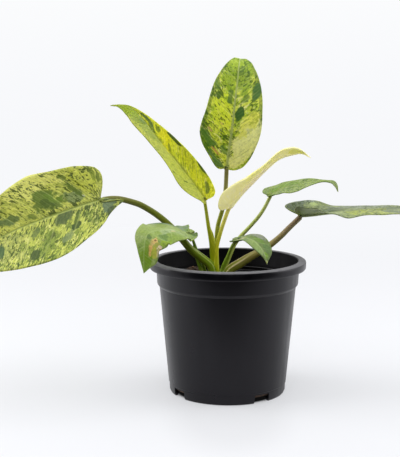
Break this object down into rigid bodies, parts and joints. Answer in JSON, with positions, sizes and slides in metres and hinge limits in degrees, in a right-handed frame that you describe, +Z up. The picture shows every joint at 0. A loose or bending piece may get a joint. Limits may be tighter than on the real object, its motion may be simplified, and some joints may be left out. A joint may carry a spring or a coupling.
{
  "type": "potted philodendron domesticum",
  "caption": "Potted spade-leaf philodendron: long petioles fan out from a short stem in a round black nursery pot and carry mottled yellow-green, spade-shaped blades.",
  "frame": {"origin": "centre of the pot's underside, on the plane that the pot stands on", "axes": "+Z up along the pot's axis, -Y towards the front of the plant, +X to the right"},
  "size_m": [0.4999, 0.1648, 0.3303],
  "materials": {
    "pot_plastic": "charcoal black moulded plastic with a soft satin sheen",
    "potting_mix": "damp, crumbly peat and bark",
    "stem": "brownish green stem with dry leaf scars",
    "petiole_green": "smooth, waxy yellow-green leaf stalk",
    "petiole_olive": "smooth olive-brown leaf stalk",
    "leaf_mottled": "waxy leaf, yellow-green mottled with dark green patches",
    "leaf_green": "waxy green leaf with paler veins",
    "leaf_new": "soft, pale cream-yellow new leaf"
  },
  "bodies": {
    "root": {"pot": "pot_plastic", "soil": "potting_mix", "crown": "stem", "petiole_new_furled": "petiole_green", "blade_new_furled": "leaf_new", "petiole_top": "petiole_olive", "blade_top": "leaf_mottled", "petiole_upper_left": "petiole_green", "blade_upper_left": "leaf_mottled", "petiole_right_small": "petiole_green", "blade_right_small": "leaf_green", "petiole_right_big": "petiole_olive", "blade_right_big": "leaf_green", "petiole_left_big": "petiole_olive", "blade_left_big": "leaf_mottled", "petiole_low_left": "petiole_green", "blade_low_left": "leaf_green", "petiole_low_right": "petiole_green", "blade_low_right": "leaf_green"}
  },
  "joints": []
}
